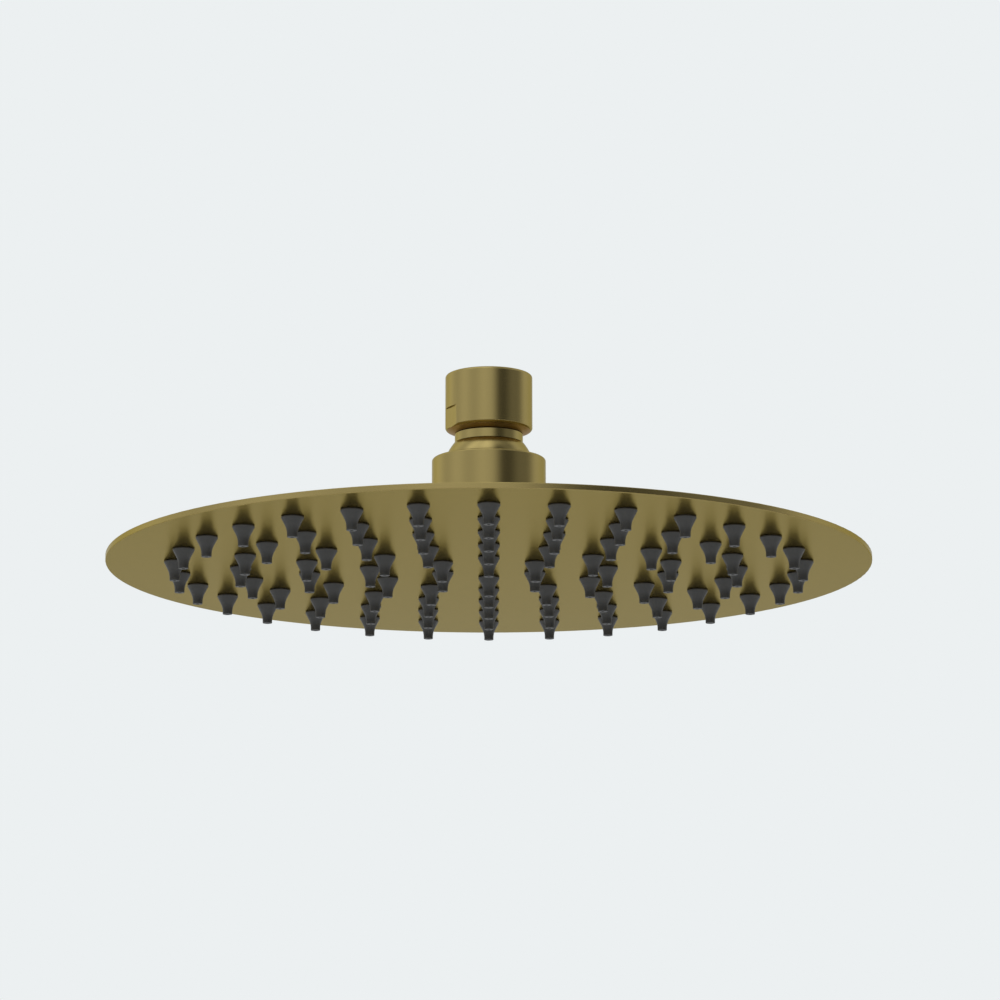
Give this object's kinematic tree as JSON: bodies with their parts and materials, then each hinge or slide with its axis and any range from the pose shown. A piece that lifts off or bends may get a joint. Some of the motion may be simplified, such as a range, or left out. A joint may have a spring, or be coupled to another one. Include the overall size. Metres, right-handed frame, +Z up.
{
  "type": "shower head",
  "caption": "Round slim rain shower head with raised rubber nozzles, on a ball swivel with a union nut for a shower arm.",
  "frame": {"origin": "centre of the union nut's mouth, where the shower arm goes in", "axes": "+Z up along the inlet into the shower arm; the disc hangs below, square to Z; the picture looks along +Y from below"},
  "size_m": [0.2, 0.2, 0.0568],
  "materials": {
    "brushed_brass": "satin brushed brass",
    "nozzle_silicone": "matt charcoal silicone rubber",
    "black_rubber": "matt black rubber",
    "spring_steel": "bright spring steel",
    "stainless_screen": "stainless steel",
    "regulator_plastic": "moulded green plastic",
    "white_seat": "white low-friction plastic"
  },
  "bodies": {
    "inlet": {"inlet_nut": "brushed_brass"},
    "stem": {"ball_stem": "brushed_brass", "retaining_ring": "spring_steel", "inlet_washer": "black_rubber", "filter_screen": "stainless_screen", "flow_regulator": "regulator_plastic", "regulator_o_ring": "black_rubber"},
    "seat": {"seat_ring": "white_seat"},
    "head": {"ball_o_ring": "black_rubber", "retaining_cap": "brushed_brass", "cap_o_ring": "black_rubber", "socket_base": "brushed_brass", "back_plate": "brushed_brass", "plate_spacers": "stainless_screen", "face_plate": "brushed_brass", "nozzles_ring_1": "nozzle_silicone", "nozzles_ring_2": "nozzle_silicone", "nozzles_ring_3": "nozzle_silicone", "nozzles_ring_4": "nozzle_silicone", "nozzles_ring_5": "nozzle_silicone"}
  },
  "joints": [
    {"name": "nut_turn", "type": "hinge", "parent": "inlet", "child": "stem", "pos_m": [0, 0, 0], "axis": [0, 0, 1], "continuous": true},
    {"name": "tilt_side", "type": "hinge", "parent": "stem", "child": "seat", "pos_m": [0, 0, -0.02616], "axis": [0, 1, 0], "range_deg": [-15, 15]},
    {"name": "tilt_front", "type": "hinge", "parent": "seat", "child": "head", "pos_m": [0, 0, -0.02616], "axis": [1, 0, 0], "range_deg": [-15, 15]}
  ]
}
